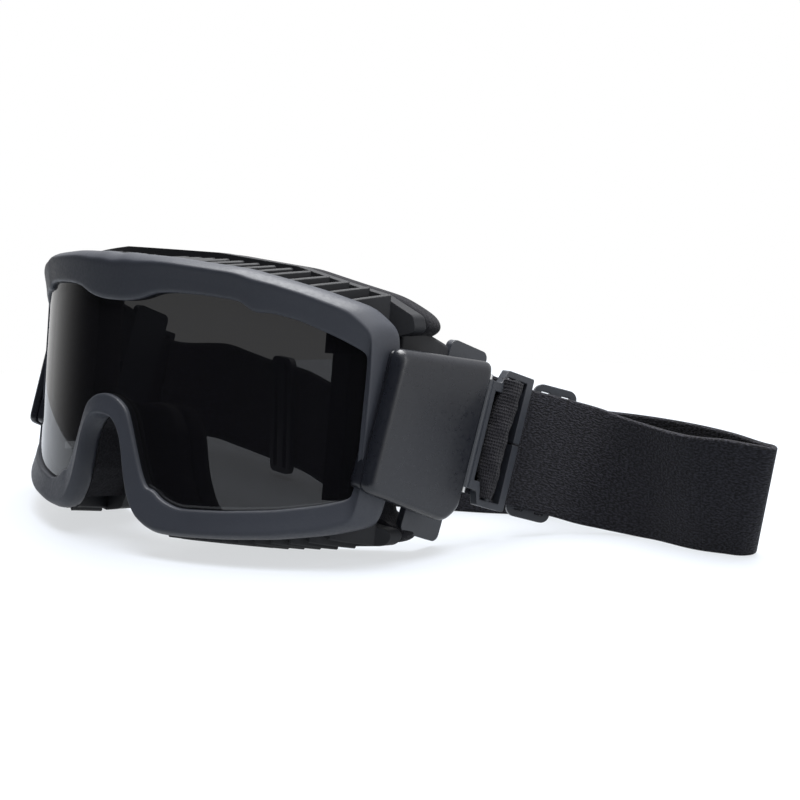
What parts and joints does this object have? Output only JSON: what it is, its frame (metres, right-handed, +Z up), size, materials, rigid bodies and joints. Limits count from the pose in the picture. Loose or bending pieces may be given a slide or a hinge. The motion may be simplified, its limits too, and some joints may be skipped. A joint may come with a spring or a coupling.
{
  "type": "protective goggles",
  "caption": "Wrap-round protective goggles with a tinted cylindrical lens, soft vented frame, foam face seal, swinging strap clips and a wide elastic strap lying on edge.",
  "frame": {"origin": "crown of the lens's nose arch, on the lens's front, on the midplane of the frame", "axes": "+X towards the wearer's left, -Y out of the front of the lens, +Z up; the goggles lie as set down on a table at z = -0.05, leaning back by 7 degrees"},
  "size_m": [0.2733, 0.1448, 0.0964],
  "materials": {
    "frame_rubber": "satin soft-moulded",
    "lens_smoke": "polished smoke-tinted polycarbonate",
    "face_foam": "fleece-faced open-cell foam",
    "vent_foam": "thin reticulated foam",
    "clip_plastic": "satin, slightly metallic sheen",
    "buckle_plastic": "satin",
    "pin_steel": "ground",
    "elastic_webbing": "fine elastic twill"
  },
  "bodies": {
    "goggle_frame": {"frame_rim": "frame_rubber", "lens": "lens_smoke", "nose_wall": "frame_rubber", "top_louvre": "frame_rubber", "bottom_louvre_left": "frame_rubber", "bottom_louvre_right": "frame_rubber", "face_flange": "frame_rubber", "face_foam": "face_foam", "top_vent_filter": "vent_foam", "bottom_vent_filter_left": "vent_foam", "bottom_vent_filter_right": "vent_foam", "left_cheek_wall": "frame_rubber", "right_cheek_wall": "frame_rubber", "left_side_plate": "clip_plastic", "right_side_plate": "clip_plastic", "left_strap_side": "elastic_webbing", "right_strap_side": "elastic_webbing", "rear_strap": "elastic_webbing"},
    "left_clip": {"left_clip_arm": "clip_plastic", "left_clip_cover": "clip_plastic", "left_hinge_pin": "pin_steel", "left_ring_pin": "pin_steel"},
    "left_ring": {"left_strap_ring": "buckle_plastic", "left_strap_front": "elastic_webbing", "left_strap_end": "elastic_webbing"},
    "left_strap_slider": {"left_slider": "buckle_plastic"},
    "right_clip": {"right_clip_arm": "clip_plastic", "right_clip_cover": "clip_plastic", "right_hinge_pin": "pin_steel", "right_ring_pin": "pin_steel"},
    "right_ring": {"right_strap_ring": "buckle_plastic", "right_strap_front": "elastic_webbing", "right_strap_end": "elastic_webbing"},
    "right_strap_slider": {"right_slider": "buckle_plastic"}
  },
  "joints": [
    {"name": "left_clip_swing", "type": "hinge", "parent": "goggle_frame", "child": "left_clip", "pos_m": [0.08931, 0.0374, -0.00459], "axis": [0.0189, 0.333, 0.9427], "range_deg": [-20, 0], "deforming": ["left_strap_side"]},
    {"name": "left_ring_pivot", "type": "hinge", "parent": "left_clip", "child": "left_ring", "pos_m": [0.09242, 0.07694, -0.01227], "axis": [0.0189, 0.333, 0.9427], "range_deg": [-8, 8]},
    {"name": "right_clip_swing", "type": "hinge", "parent": "goggle_frame", "child": "right_clip", "pos_m": [-0.08931, 0.0374, -0.00459], "axis": [-0.0189, 0.333, 0.9427], "range_deg": [0, 20], "deforming": ["right_strap_side"]},
    {"name": "right_ring_pivot", "type": "hinge", "parent": "right_clip", "child": "right_ring", "pos_m": [-0.09242, 0.07694, -0.01227], "axis": [-0.0189, 0.333, 0.9427], "range_deg": [-8, 8]},
    {"name": "left_slider_slide", "type": "slide", "parent": "left_clip", "child": "left_strap_slider", "axis": [0.6348, 0.7245, -0.2686], "range_m": [0, 0.004]},
    {"name": "right_slider_slide", "type": "slide", "parent": "goggle_frame", "child": "right_strap_slider", "axis": [-0.9748, 0.2229, -0.0111], "range_m": [-0.012, 0.012]}
  ]
}
